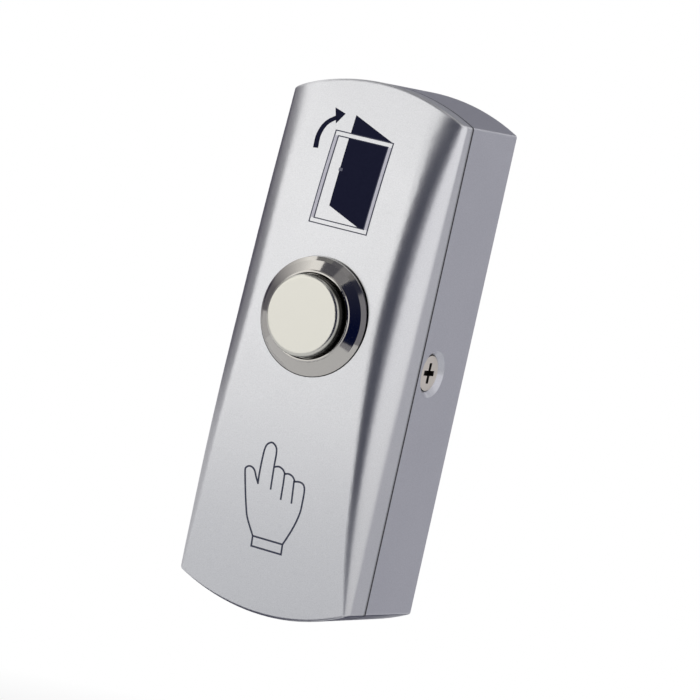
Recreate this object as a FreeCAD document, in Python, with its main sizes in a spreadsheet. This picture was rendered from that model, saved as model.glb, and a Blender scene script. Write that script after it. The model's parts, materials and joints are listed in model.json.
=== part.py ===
"""Door exit button: a narrow surface-mounted box with a sculpted cover and a round push button.

X is to the right, Z is up and Y runs into the wall. The origin is the middle of the back face,
where the box lies on the wall, so everything stands out towards -Y. A "level" is a distance
from the wall, so a level of 15 is the plane Y = -15.
"""
import FreeCAD, Part
import math
import os

import Sketcher

Vector = FreeCAD.Vector
doc = FreeCAD.newDocument("door_exit_button")

# Driving dimensions, in millimetres
DIMENSIONS = [
    ("body_width", 30.4, "width across the straight sides"),
    ("body_height", 83.0, "height between the tops of the two end arcs"),
    ("end_rise", 3.7, "rise of each end arc above its corners"),
    ("corner_round", 0.5, "rounding of the upright corners and the cover's end edges"),
    ("box_depth", 15.0, "wall to the joint between box and cover"),
    ("box_wall", 2.4, "side wall of the box"),
    ("box_floor", 1.9, "floor of the box"),
    ("joint_gap", 0.28, "narrow gap that shows between box and cover"),
    ("joint_lip", 0.7, "how far the box's lip lies inside its sides"),
    ("cover_wall", 1.8, "wall of the cover"),
    ("crown_height", 8.4, "highest line of the cover above the joint"),
    ("crown_drop", 4.5, "how far the crown lies below the middle"),
    ("face_drop", 5.43, "fall of the face from its highest line to the upper end"),
    ("side_mid", 3.0, "upright side of the cover at mid height"),
    ("side_change", 1.41, "how much lower that side is at the upper end"),
    ("bevel_clear", 0.3, "side bevel outside the lock washer"),
    ("bevel_start", 6.0, "height below which the bevel narrows"),
    ("bevel_end", 0.7, "width of the side bevel at the lower end"),
    ("bevel_power", 1.12, "how gradually it starts to narrow"),
    ("lug_width", 7.0, "width of the cover's screw lugs"),
    ("lug_gap", 0.15, "gap between lug and box wall"),
    ("lug_overlap", 3.3, "how far a lug reaches past the screw"),
    ("lug_root", 0.5, "how far a lug's foot lies inside the cover's wall"),
    ("cover_spare", 1.0, "how far the loft runs past what is cut from it"),
    ("cut_spare", 1.0, "how far a cutting tool runs past the piece it cuts"),
    ("screw_behind", 4.6, "side screw behind the joint"),
    ("screw_thread", 3.0, "side screw thread"),
    ("screw_head", 5.5, "side screw head"),
    ("screw_sink", 0.65, "side screw head below the box's side"),
    ("screw_gap", 0.1, "clearance round the side screw in the box"),
    ("screw_band", 0.15, "straight edge of the side screw's head"),
    ("screw_cross", 1.6, "reach of each arm of the head's cross"),
    ("cross_width", 0.8, "width of the cross"),
    ("cross_depth", 1.1, "depth of the cross"),
    ("button_height", 5.0, "button axis above the middle"),
    ("seat_height", 7.5, "button seat above the joint"),
    ("rim_width", 1.175, "button rim beyond the barrel"),
    ("seat_gap", 0.15, "gap round the rim in its seat"),
    ("seal_thickness", 0.4, "flange seal"),
    ("rim_thickness", 0.6, "edge of the rim"),
    ("rim_chamfer", 0.62, "width of the rim's outer bevel"),
    ("rim_chamfer_rise", 0.5, "rise of the rim's outer bevel"),
    ("bead_rise", 1.67, "bead above the rim's edge"),
    ("bead_offset", 0.4, "middle of the bright bead outside the cap"),
    ("bead_width", 0.6, "width of the bead"),
    ("bead_edge", 0.28, "height of the bead's outer edge"),
    ("bead_step", 0.5, "height of the step inside the bead"),
    ("bead_round", 0.25, "rounding of the bead"),
    ("barrel_diameter", 15.8, "threaded barrel"),
    ("barrel_length", 9.0, "barrel behind the seat"),
    ("barrel_gap", 0.2, "gap round the barrel in the cover"),
    ("cap_margin", 1.6, "barrel beyond the button cap"),
    ("cap_gap", 0.06, "running gap round the cap"),
    ("cap_stand", 1.94, "cap above the bead"),
    ("cap_round", 0.65, "rounding of the cap's edge"),
    ("cap_roof", 1.6, "thickness of the cap's front"),
    ("cap_skirt", 5.0, "length of the cap from front to skirt"),
    ("cap_wall", 1.3, "wall of the cap"),
    ("cap_travel", 1.8, "how far the button goes in"),
    ("web_behind", 3.1, "web inside the barrel behind the seat"),
    ("web_thickness", 1.4, "that web"),
    ("barrel_wall", 1.1, "wall of the barrel behind the web"),
    ("rod_share", 0.316, "plunger rod as a share of the barrel"),
    ("neck_share", 0.6, "rear neck as a share of the rod"),
    ("rod_gap", 0.05, "running gap round the rod"),
    ("rod_end", 0.2, "rod behind the push-on nut"),
    ("boss_step", 0.3, "boss inside the cap inside the rod's outline"),
    ("boss_length", 1.5, "length of that boss"),
    ("clip_thickness", 0.5, "retaining clip"),
    ("clip_width", 1.1, "clip beyond the rod"),
    ("clip_depth", 0.6, "depth of the clip's groove"),
    ("clip_mouth", 2.4, "opening of the clip"),
    ("clip_play", 0.05, "play of the clip in its groove"),
    ("ring_section", 0.8, "thickness of the cap's ring seal"),
    ("ring_ahead", 0.8, "cap's ring seal ahead of the seat"),
    ("groove_play", 0.06, "play of the ring seal in its groove"),
    ("return_wire", 0.6, "return spring wire"),
    ("return_turns", 3.0, "open turns of the return spring"),
    ("contact_wire", 0.35, "contact spring wire"),
    ("contact_offset_coil", 0.5, "contact spring's wire outside the neck"),
    ("contact_length", 2.2, "length of the contact spring"),
    ("contact_turns", 2.0, "open turns of the contact spring"),
    ("coil_play", 0.06, "gap between closed coils as a share of the wire"),
    ("washer_thickness", 0.7, "lock washer"),
    ("washer_width", 1.8, "lock washer beyond the barrel"),
    ("washer_teeth", 12, "notches in the lock washer"),
    ("notch_depth", 0.9, "depth of a notch"),
    ("notch_width", 1.6, "width of a notch at its bottom"),
    ("notch_flare", 0.2, "how much each side of a notch opens, as a share of its width"),
    ("boss_clear", 0.05, "washer's seat behind the cavity's front"),
    ("boss_height", 1.1, "height of the boss round that seat"),
    ("boss_margin", 0.2, "boss beyond the washer's edge"),
    ("nut_wall", 1.4, "nut's flats beyond the barrel"),
    ("nut_clear", 0.35, "clearance between the nut and a lug"),
    ("nut_thickness", 2.2, "mounting nut"),
    ("nut_chamfer", 0.6, "chamfer of the nut's corners"),
    ("thread_gap", 0.05, "gap in each screw thread"),
    ("edge_break", 0.3, "small chamfer that breaks an edge"),
    ("slot_cut", 0.5, "slot in a small screw's head"),
    ("hole_play", 0.1, "play of a small screw in its hole"),
    ("housing_step", 0.1, "switch housing inside the barrel's outline"),
    ("wiring_space", 6.1, "box floor to the switch housing"),
    ("housing_behind", 5.5, "front of the switch housing behind the seat"),
    ("housing_wall", 1.1, "switch housing inside the barrel's bore"),
    ("housing_gap", 0.1, "gap round the housing's plug"),
    ("base_thickness", 2.4, "switch base"),
    ("contact_inset", 0.7, "edge of a contact from the housing's wall"),
    ("contact_gap", 0.1, "gap left between the contacts when pressed"),
    ("contact_share", 0.193, "diameter of a contact as a share of the housing's bore"),
    ("contact_height", 0.5, "height of a contact"),
    ("bridge_thickness", 0.5, "bridge strip"),
    ("bridge_width", 3.2, "width of the bridge strip"),
    ("bridge_inset", 0.5, "ends of the bridge strip from the housing's wall"),
    ("retainer_thickness", 0.5, "push-on nut"),
    ("retainer_clear", 0.2, "push-on nut to the contacts"),
    ("terminal_thickness", 0.6, "terminal strip"),
    ("terminal_width", 4.0, "width of a terminal"),
    ("leg_width", 3.0, "width of a terminal's leg"),
    ("leg_gap", 0.05, "gap round that leg in the base"),
    ("terminal_inset", 0.2, "outer end of a terminal from the base's edge"),
    ("terminal_screw_inset", 1.9, "terminal screw from the base's edge"),
    ("terminal_screw_thread", 2.0, "terminal screw thread"),
    ("terminal_screw_head", 3.4, "terminal screw head"),
    ("terminal_head_height", 1.1, "height of that head"),
    ("terminal_screw_length", 3.0, "terminal screw below its head"),
    ("clamp_thickness", 0.6, "wire clamp"),
    ("clamp_width", 3.8, "side of the square wire clamp"),
    ("base_screw_thread", 1.4, "base screw thread"),
    ("base_screw_head", 2.2, "base screw head"),
    ("base_head_height", 0.8, "height of that head"),
    ("base_screw_length", 5.0, "base screw below its head"),
    ("hole_spare", 0.3, "depth of a blind hole beyond its screw"),
    ("slot_spacing", 60.0, "distance between the wall slots"),
    ("slot_width", 4.2, "width of a wall slot"),
    ("slot_length", 7.0, "length of a wall slot"),
    ("cable_height", -17.0, "height of the cable hole"),
    ("cable_hole", 9.0, "cable hole in the box"),
    ("cable_bore", 6.0, "bore of the grommet"),
    ("grommet_flange", 12.0, "flanges of the grommet"),
    ("grommet_sink", 0.8, "rear flange of the grommet"),
    ("grommet_front", 1.6, "front flange of the grommet"),
    ("grommet_taper", 0.6, "taper of the front flange"),
    ("grommet_gap", 0.05, "gap between grommet and box"),
]

# Sizes that follow from others, in millimetres
FOLLOWING = [
    ("seat_level", "box_depth + seat_height", "level of the button's seat"),
    ("face_radius", "(body_height / 2 + crown_drop)^2 / (2 * face_drop)",
     "radius of the face along its length"),
    ("side_slope", "side_change / (body_height / 2)", "fall of the side for each millimetre up"),
    ("rim_diameter", "barrel_diameter + 2 * rim_width", "button rim"),
    ("rod_diameter", "barrel_diameter * rod_share", "plunger rod"),
    ("rod_neck", "rod_diameter * neck_share", "rear neck of the rod"),
    ("boss_diameter", "rod_diameter - 2 * boss_step", "boss inside the cap"),
    ("clip_diameter", "rod_diameter + 2 * clip_width", "outside of the clip"),
    ("clip_groove", "rod_diameter - 2 * clip_depth", "rod at the clip groove"),
    ("contact_coil", "rod_neck + 2 * contact_offset_coil", "contact spring mean diameter"),
    ("cap_diameter", "barrel_diameter - 2 * cap_margin", "button cap"),
    ("cap_bore", "cap_diameter - 2 * cap_wall", "inside of the cap"),
    ("bead_diameter", "cap_diameter + 2 * bead_offset", "middle of the bright bead"),
    ("rear_bore", "barrel_diameter - 2 * barrel_wall", "bore behind the web"),
    ("return_coil", "(cap_bore + rod_diameter) / 2", "return spring mean diameter"),
    ("washer_diameter", "barrel_diameter + 2 * washer_width", "outside of the lock washer"),
    ("nut_width", "barrel_diameter + 2 * nut_wall", "nut across its flats"),
    ("lug_face", "nut_width / 2 + nut_clear", "inner face of each lug from the middle"),
    ("lug_thickness", "body_width / 2 - box_wall - lug_gap - lug_face", "screw lugs"),
    ("screw_length", "body_width / 2 - screw_sink - nut_width / 2 - nut_clear + hole_play",
     "side screw"),
    ("web_level", "seat_level - web_behind", "front of the web inside the barrel"),
    ("ring_level", "seat_level + ring_ahead", "cap's ring seal"),
    ("washer_fall", "(button_height + washer_diameter / 2 + crown_drop)^2 / (2 * face_radius)",
     "fall of the face to the washer's upper edge"),
    ("boss_level", "box_depth + crown_height - washer_fall - cover_wall - boss_clear",
     "washer's seat in the cover"),
    ("bevel_width", "body_width / 2 - washer_diameter / 2 - bevel_clear",
     "width of the side bevel in the upper part"),
    ("housing_rear", "box_floor + wiring_space", "rear of the switch housing"),
    ("housing_front", "seat_level - housing_behind", "front of the switch housing"),
    ("housing_diameter", "barrel_diameter - 2 * housing_step", "switch housing's collar"),
    ("housing_bore", "rear_bore - 2 * housing_wall", "inside of the switch housing"),
    ("contact_head", "housing_bore * contact_share", "diameter of a contact"),
    ("contact_offset", "housing_bore / 2 - contact_head / 2 - contact_inset",
     "contacts from the button axis"),
    ("retainer_diameter", "2 * contact_offset - contact_head - 2 * retainer_clear",
     "outside of the push-on nut"),
    ("bridge_length", "housing_bore - 2 * bridge_inset", "length of the bridge strip"),
    ("terminal_reach", "housing_diameter / 2 - terminal_inset", "outer end of a terminal"),
    ("terminal_screw_offset", "housing_diameter / 2 - terminal_screw_inset",
     "terminal screw from the axis"),
    ("base_screw_offset", "(housing_bore + housing_diameter) / 4", "base screws from the axis"),
]

sizes = doc.addObject("Spreadsheet::Sheet", "Sizes")
for row, (alias, number, meaning) in enumerate(DIMENSIONS + FOLLOWING, start=1):
    sizes.set(f"A{row}", alias)
    sizes.set(f"B{row}", f"={number}")
    sizes.set(f"C{row}", meaning)
    sizes.setAlias(f"B{row}", alias)
    doc.recompute()


def named(expression):
    """Put the sheet's name before every size that an expression uses."""
    aliases = {alias for alias, _, _ in DIMENSIONS + FOLLOWING}
    words = []
    word = ""
    for letter in str(expression) + " ":
        if letter.isalnum() or letter == "_":
            word += letter
            continue
        words.append("Sizes." + word if word in aliases else word)
        words.append(letter)
        word = ""
    return "".join(words).strip()


def value(expression):
    """The number that an expression of named sizes gives."""
    return float(sizes.evalExpression(named(expression)))


# Levels that several pieces share
SEAT = "seat_level"
FLANGE_REAR = f"({SEAT} + seal_thickness)"
RIM_EDGE = f"({FLANGE_REAR} + rim_thickness)"
BEAD_TOP = f"({RIM_EDGE} + bead_rise)"
CAP_FRONT = f"({BEAD_TOP} + cap_stand)"
CAP_ROOF = f"({CAP_FRONT} - cap_roof)"
CAP_REAR = f"({CAP_FRONT} - cap_skirt)"
BARREL_REAR = f"({SEAT} - barrel_length)"
WEB_REAR = "(web_level - web_thickness)"
BOSS_END = f"({CAP_ROOF} - boss_length)"
NUT_FRONT = "(boss_level - washer_thickness)"
BASE_REAR = "(housing_rear - base_thickness)"
PAD_FRONT = "(housing_rear + terminal_thickness)"
FIXED_FACE = f"({PAD_FRONT} + contact_height)"
BRIDGE_REAR = f"({FIXED_FACE} + contact_gap + cap_travel + contact_height)"
BRIDGE_FRONT = f"({BRIDGE_REAR} + bridge_thickness)"
SHOULDER = f"({BRIDGE_FRONT} + contact_length)"
ROD_TIP = f"({BRIDGE_REAR} - retainer_thickness - rod_end)"
TAB_REAR = f"({BASE_REAR} - terminal_thickness)"
CLAMP_REAR = f"({TAB_REAR} - clamp_thickness)"
SIDE_SCREW = "(box_depth - screw_behind)"
ARC_RADIUS = "((body_width^2 / 4 + end_rise^2) / (2 * end_rise))"

FACING_OUT = FreeCAD.Rotation(Vector(1, 0, 0), 90)
NEAR = 1e-3
STATIONS = (-1, -0.72, -0.44, -0.16, 0.16, 0.42, 0.7, 1)
COIL_POINTS = 16


def plane(body, role):
    """One of a body's own origin planes."""
    return next(item for item in body.Origin.OriginFeatures if item.Role == role)


def new_sketch(body, name, role, offset=("0", "0", "0")):
    """A sketch on one of a body's planes, moved by three expressions in the sketch's own axes."""
    sketch = body.newObject("Sketcher::SketchObject", name)
    sketch.AttachmentSupport = [(plane(body, role), "")]
    sketch.MapMode = "FlatFace"
    for axis, expression in zip("xyz", offset):
        if expression != "0":
            sketch.setExpression(f"AttachmentOffset.Base.{axis}", named(expression))
    return sketch


def pin(sketch, edge, end, x, y):
    """Fix one end of an edge at two expressions, measured from the sketch's origin."""
    for kind, axis, expression in (("DistanceX", -2, x), ("DistanceY", -1, y)):
        number = value(expression)
        if abs(number) < NEAR:
            sketch.addConstraint(Sketcher.Constraint("PointOnObject", edge, end, axis))
        else:
            index = sketch.addConstraint(Sketcher.Constraint(kind, -1, 1, edge, end, number))
            sketch.setExpression(f"Constraints[{index}]", named(expression))


def draw_polygon(sketch, corners):
    """Close a polygon through corners that are pairs of expressions."""
    points = [Vector(value(x), value(y), 0) for x, y in corners]
    first = sketch.GeometryCount
    count = len(points)
    for index in range(count):
        sketch.addGeometry(Part.LineSegment(points[index], points[(index + 1) % count]), False)
    for index in range(count):
        following = first + (index + 1) % count
        sketch.addConstraint(Sketcher.Constraint("Coincident", first + index, 2, following, 1))
    for index, (x, y) in enumerate(corners):
        pin(sketch, first + index, 1, x, y)


def draw_circle(sketch, x, y, diameter):
    """A circle whose centre and diameter are expressions."""
    middle = Vector(value(x), value(y), 0)
    edge = sketch.addGeometry(Part.Circle(middle, Vector(0, 0, 1), value(diameter) / 2), False)
    pin(sketch, edge, 3, x, y)
    index = sketch.addConstraint(Sketcher.Constraint("Diameter", edge, value(diameter)))
    sketch.setExpression(f"Constraints[{index}]", named(diameter))


def draw_outline(sketch, inset):
    """The box's outline, moved inwards by an expression: two straight sides and two end arcs."""
    radius = value(f"{ARC_RADIUS} - ({inset})")
    half = value(f"body_width / 2 - ({inset})")
    centre = value(f"body_height / 2 - {ARC_RADIUS}")
    corner = centre + math.sqrt(radius ** 2 - half ** 2)
    upper = Part.Circle(Vector(0, centre, 0), Vector(0, 0, 1), radius)
    lower = Part.Circle(Vector(0, -centre, 0), Vector(0, 0, 1), radius)
    lean = math.atan2(corner - centre, half)
    first = sketch.GeometryCount
    sketch.addGeometry(Part.LineSegment(Vector(half, -corner, 0), Vector(half, corner, 0)), False)
    sketch.addGeometry(Part.ArcOfCircle(upper, lean, math.pi - lean), False)
    sketch.addGeometry(Part.LineSegment(Vector(-half, corner, 0), Vector(-half, -corner, 0)), False)
    sketch.addGeometry(Part.ArcOfCircle(lower, math.pi + lean, 2 * math.pi - lean), False)
    for index in range(4):
        following = first + (index + 1) % 4
        sketch.addConstraint(Sketcher.Constraint("Coincident", first + index, 2, following, 1))
    for index in (0, 2):
        sketch.addConstraint(Sketcher.Constraint("Vertical", first + index))
    for index, sign in ((1, ""), (3, "-")):
        pin(sketch, first + index, 3, "0", f"{sign}(body_height / 2 - {ARC_RADIUS})")
        place = sketch.addConstraint(Sketcher.Constraint("Radius", first + index, radius))
        sketch.setExpression(f"Constraints[{place}]", named(f"{ARC_RADIUS} - ({inset})"))
    for index, sign in ((0, 1), (2, -1)):
        place = sketch.addConstraint(
            Sketcher.Constraint("DistanceX", -1, 1, first + index, 1, sign * half))
        expression = f"{sign} * (body_width / 2 - ({inset}))"
        sketch.setExpression(f"Constraints[{place}]", named(expression))


def face_out(piece, level, height="button_height", across="0"):
    """Place a piece whose own +Z points out of the wall, with its base at a level."""
    piece.Placement = FreeCAD.Placement(Vector(0, 0, 0), FACING_OUT)
    piece.setExpression("Placement.Base.x", named(across))
    piece.setExpression("Placement.Base.y", named(f"-({level})"))
    piece.setExpression("Placement.Base.z", named(height))


def turned(name, level, profile, height="button_height", across="0"):
    """A turned body. The profile is (radius, level) pairs; its base lies at the given level."""
    body = doc.addObject("PartDesign::Body", name)
    sketch = new_sketch(body, name + "_profile", "XZ_Plane")
    draw_polygon(sketch, [(radius, f"{place} - ({level})") for radius, place in profile])
    turn = body.newObject("PartDesign::Revolution", name + "_turn")
    turn.Profile = sketch
    turn.ReferenceAxis = (sketch, ["V_Axis"])
    turn.Angle = 360
    face_out(body, level, height, across)
    doc.recompute()
    return body


def pad(body, sketch, length):
    """Pad a sketch along its normal by an expression."""
    feature = body.newObject("PartDesign::Pad", sketch.Name + "_pad")
    feature.Profile = sketch
    feature.setExpression("Length", named(length))
    doc.recompute()
    return feature


def pocket(body, sketch, length, flip=False, through=False):
    """Cut a sketch into the body, against its normal unless flipped."""
    feature = body.newObject("PartDesign::Pocket", sketch.Name + "_cut")
    feature.Profile = sketch
    feature.Reversed = flip
    if through:
        feature.Type = "ThroughAll"
    else:
        feature.setExpression("Length", named(length))
    doc.recompute()
    return feature


def numbers_where(shape, test):
    """Numbers of the edges that pass a test, which gets the edge and its middle point."""
    numbers = []
    for number, edge in enumerate(shape.Edges, start=1):
        middle = edge.valueAt((edge.FirstParameter + edge.LastParameter) / 2)
        if test(edge, middle):
            numbers.append(number)
    return numbers


def edges_where(shape, test):
    """Names of the edges that pass a test."""
    return [f"Edge{number}" for number in numbers_where(shape, test)]


def dress_shape(kind, name, base, numbers, size):
    """Fillet or chamfer numbered edges of a document object outside a body."""
    feature = doc.addObject("Part::" + kind, name)
    feature.Base = base
    feature.Edges = [(number, value(size), value(size)) for number in numbers]
    doc.recompute()
    return feature


def dress(body, kind, base, edges, size):
    """Fillet or chamfer edges of a body's last feature."""
    feature = body.newObject("PartDesign::" + kind, body.Name + "_" + kind.lower())
    feature.Base = (base, edges)
    feature.setExpression("Radius" if kind == "Fillet" else "Size", named(size))
    doc.recompute()
    return feature


def shape_feature(name, shape):
    """A document object that holds a shape made by Part's own functions."""
    feature = doc.addObject("Part::Feature", name)
    feature.Shape = shape
    return feature


def combine(kind, name, *pieces):
    """Join, cut or intersect document objects."""
    feature = doc.addObject("Part::" + kind, name)
    if kind in ("Cut", "Common"):
        feature.Base, feature.Tool = pieces
    elif kind == "Compound":
        feature.Links = list(pieces)
    else:
        feature.Shapes = list(pieces)
    doc.recompute()
    return feature


def block(name, across, levels, heights):
    """A box between pairs of expressions: X, level and Z."""
    box = doc.addObject("Part::Box", name)
    box.setExpression("Length", named(f"({across[1]}) - ({across[0]})"))
    box.setExpression("Width", named(f"({levels[1]}) - ({levels[0]})"))
    box.setExpression("Height", named(f"({heights[1]}) - ({heights[0]})"))
    box.setExpression("Placement.Base.x", named(across[0]))
    box.setExpression("Placement.Base.y", named(f"-({levels[1]})"))
    box.setExpression("Placement.Base.z", named(heights[0]))
    return box


def rod(name, diameter, levels, height="button_height", across="0"):
    """A cylinder along Y between two levels."""
    bar = doc.addObject("Part::Cylinder", name)
    bar.setExpression("Radius", named(f"({diameter}) / 2"))
    bar.setExpression("Height", named(f"({levels[1]}) - ({levels[0]})"))
    face_out(bar, levels[0], height, across)
    return bar


def mirrored(name, piece, normal, base=("0", "0", "0")):
    """A mirror image of a document object."""
    image = doc.addObject("Part::Mirroring", name)
    image.Source = piece
    image.Normal = normal
    for axis, expression in zip("xyz", base):
        if expression != "0":
            image.setExpression(f"Base.{axis}", named(expression))
    return image


def label(piece, name):
    """Give a finished piece its own name."""
    piece.Label = name
    return piece


# Cover: laws for its sculpted front
def face_level(height):
    """Level of the face at a height, on an arc along the cover."""
    from_crown = height + value("crown_drop")
    return value("box_depth + crown_height") - from_crown ** 2 / (2 * value("face_radius"))


def side_level(height):
    """Level where the upright side ends and the bevel starts."""
    return value("box_depth + side_mid") - value("side_slope") * height


def bevel_reach(height):
    """Width of the bevel, full in the upper part and narrowing to the lower end."""
    start = value("bevel_start")
    fall = max(0.0, start - height) / (start + value("body_height / 2"))
    loss = value("bevel_width - bevel_end") * fall ** value("bevel_power")
    return value("bevel_width") - loss


def bevel_curve(half, height, inset):
    """Bevel from the side to the face: a quarter ellipse that runs smoothly into both."""
    reach = bevel_reach(height)
    rise = face_level(height) - side_level(height)
    handle = 4 / 3 * math.tan(math.pi / 8)
    foot = side_level(height) - inset
    unit = [(1, 0), (1, handle), (handle, 1), (0, 1)]
    return [Vector(half - reach + x * reach, -(foot + y * rise), height) for x, y in unit]


def cover_section(height, inset, foot):
    """Section of the cover at a height: side, bevel, face, bevel, side."""
    half = value("body_width / 2") - inset
    right = bevel_curve(half, height, inset)
    left = [Vector(-point.x, point.y, height) for point in right]
    bevels = []
    for poles in (right, list(reversed(left))):
        curve = Part.BezierCurve()
        curve.setPoles(poles)
        bevels.append(curve.toShape())
    corner_right = Vector(half, -foot, height)
    corner_left = Vector(-half, -foot, height)
    edges = [
        Part.makeLine(corner_right, right[0]),
        bevels[0],
        Part.makeLine(right[3], left[3]),
        bevels[1],
        Part.makeLine(left[0], corner_left),
        Part.makeLine(corner_left, corner_right),
    ]
    return Part.Wire(edges)


def cover_form(inset, foot):
    """The cover's front as one smooth loft, longer than the cover by a little at each end."""
    top = value("body_height / 2 + cover_spare")
    sections = [cover_section(share * top, inset, foot) for share in STATIONS]
    return Part.makeLoft(sections, True, False)


def plan_prism(name, inset, levels):
    """A prism with the end arcs of the outline, widened so that its sides stay clear of the
    cover's own sides."""
    widen = value("2 * cover_spare")
    radius = value(f"{ARC_RADIUS}") - inset
    centre = value(f"body_height / 2 - {ARC_RADIUS}")
    half = value("body_width / 2") - inset + widen
    corner = centre + math.sqrt(radius ** 2 - half ** 2)
    level = -value(levels[0])
    right = Part.makeLine(Vector(half, level, -corner), Vector(half, level, corner))
    upper = Part.Arc(Vector(half, level, corner), Vector(0, level, centre + radius),
                     Vector(-half, level, corner)).toShape()
    left = Part.makeLine(Vector(-half, level, corner), Vector(-half, level, -corner))
    lower = Part.Arc(Vector(-half, level, -corner), Vector(0, level, -centre - radius),
                     Vector(half, level, -corner)).toShape()
    outline = Part.Face(Part.Wire([right, upper, left, lower]))
    length = value(f"{levels[1]} - ({levels[0]})")
    return shape_feature(name, outline.extrude(Vector(0, -length, 0)))


def make_front_cover():
    """Cast cover: lofted front cut by the end arcs, hollow, with button seat and screw lugs."""
    front = shape_feature("cover_loft", cover_form(0, value("box_depth")))
    plan = plan_prism("cover_plan", 0, ("box_depth - cover_spare", "box_depth + crown_height"
                                        " + cover_spare"))
    blank = combine("Common", "cover_blank", front, plan)
    joint = -value("box_depth")
    corner = value("body_height / 2 - end_rise - corner_round")
    ends = numbers_where(blank.Shape, lambda edge, middle: middle.y < joint - NEAR
                         and min(abs(vertex.Z) for vertex in edge.Vertexes) > corner
                         and abs(middle.z) > corner)
    rounded = dress_shape("Fillet", "cover_rounded", blank, ends, "corner_round")

    wall = value("cover_wall")
    inner = shape_feature("cavity_loft", cover_form(wall, value("box_depth - cover_spare")))
    inner_plan = plan_prism("cavity_plan", wall, ("box_depth - 2 * cover_spare",
                                                  "box_depth + crown_height"))
    cavity = combine("Common", "cavity_solid", inner, inner_plan)
    shell = combine("Cut", "cover_shell", rounded, cavity)

    lug_outer = "body_width / 2 - box_wall - lug_gap"
    lug_front = "box_depth + side_mid + lug_root"
    lug_heights = ("-lug_width / 2", "lug_width / 2")
    lug = block("lug_right", (f"{lug_outer} - lug_thickness", lug_outer),
                (f"{SIDE_SCREW} - lug_overlap", lug_front), lug_heights)
    other_lug = mirrored("lug_left", lug, Vector(1, 0, 0))
    foot = block("lug_foot", (f"{lug_outer} - lug_thickness", "body_width / 2 - lug_root"),
                 ("box_depth + lug_root", lug_front), lug_heights)
    other_foot = mirrored("lug_foot_left", foot, Vector(1, 0, 0))
    boss = rod("seat_boss", "washer_diameter + 2 * boss_margin",
               ("boss_level", "boss_level + boss_height"))
    joined = combine("MultiFuse", "cover_joined", shell, lug, other_lug, foot, other_foot, boss)

    bore = rod("button_bore", "barrel_diameter + 2 * barrel_gap", ("0", CAP_FRONT))
    seat = rod("button_seat", "rim_diameter + 2 * seat_gap", (SEAT, CAP_FRONT))
    threads = doc.addObject("Part::Cylinder", "lug_threads")
    threads.Placement.Rotation = FreeCAD.Rotation(Vector(0, 1, 0), 90)
    threads.setExpression("Radius", named("screw_thread / 2"))
    threads.setExpression("Height", named("body_width - 2 * box_wall"))
    threads.setExpression("Placement.Base.x", named("-(body_width / 2 - box_wall)"))
    threads.setExpression("Placement.Base.y", named(f"-{SIDE_SCREW}"))
    tools = combine("MultiFuse", "cover_tools", bore, seat, threads)
    return label(combine("Cut", "cover_cut", joined, tools), "front_cover")


def make_back_box():
    """Cast box: outline padded, hollowed, with countersinks, wall slots and cable hole."""
    body = doc.addObject("PartDesign::Body", "back_box")
    outline = new_sketch(body, "box_outline", "XZ_Plane")
    draw_outline(outline, "0")
    base = pad(body, outline, "box_depth - joint_gap")
    upright = edges_where(base.Shape, lambda edge, middle: len(edge.Vertexes) == 2
                          and abs(edge.Vertexes[0].Y - edge.Vertexes[1].Y) > NEAR)
    dress(body, "Fillet", base, upright, "corner_round")
    lip = new_sketch(body, "box_lip", "XZ_Plane", ("0", "0", "box_depth - joint_gap"))
    draw_outline(lip, "joint_lip")
    pad(body, lip, "joint_gap")

    hollow = new_sketch(body, "box_hollow", "XZ_Plane", ("0", "0", "box_depth"))
    draw_outline(hollow, "box_wall")
    pocket(body, hollow, "box_depth - box_floor")

    countersink = new_sketch(body, "countersink", "XY_Plane", ("0", f"-{SIDE_SCREW}", "0"))
    hole = "screw_thread / 2 + screw_gap"
    mouth = "screw_head / 2 + screw_gap + screw_sink + screw_band"
    side = "body_width / 2"
    draw_polygon(countersink, [
        (f"{side} - box_wall - cut_spare", "0"),
        (f"{side} - box_wall - cut_spare", hole),
        (f"{side} - ({mouth} - ({hole}))", hole),
        (side, mouth),
        (f"{side} + cut_spare", mouth),
        (f"{side} + cut_spare", "0"),
    ])
    groove = body.newObject("PartDesign::Groove", "countersink_cut")
    groove.Profile = countersink
    groove.ReferenceAxis = (countersink, ["H_Axis"])
    groove.Angle = 360
    doc.recompute()
    both = body.newObject("PartDesign::Mirrored", "countersink_pair")
    both.Originals = [groove]
    both.MirrorPlane = (plane(body, "YZ_Plane"), [""])
    body.Tip = both
    doc.recompute()

    slots = new_sketch(body, "wall_slots", "XZ_Plane", ("0", "0", "box_floor"))
    for sign in ("", "-"):
        draw_slot(slots, f"{sign}slot_spacing / 2")
    pocket(body, slots, "box_floor + cut_spare")
    cable = new_sketch(body, "cable_hole_sketch", "XZ_Plane", ("0", "0", "box_floor"))
    draw_circle(cable, "0", "cable_height", "cable_hole")
    pocket(body, cable, "box_floor + cut_spare")
    recess = new_sketch(body, "cable_recess", "XZ_Plane")
    draw_circle(recess, "0", "cable_height", "grommet_flange + 2 * grommet_gap")
    pocket(body, recess, "grommet_sink + grommet_gap", flip=True)
    return label(body, "back_box")


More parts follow.
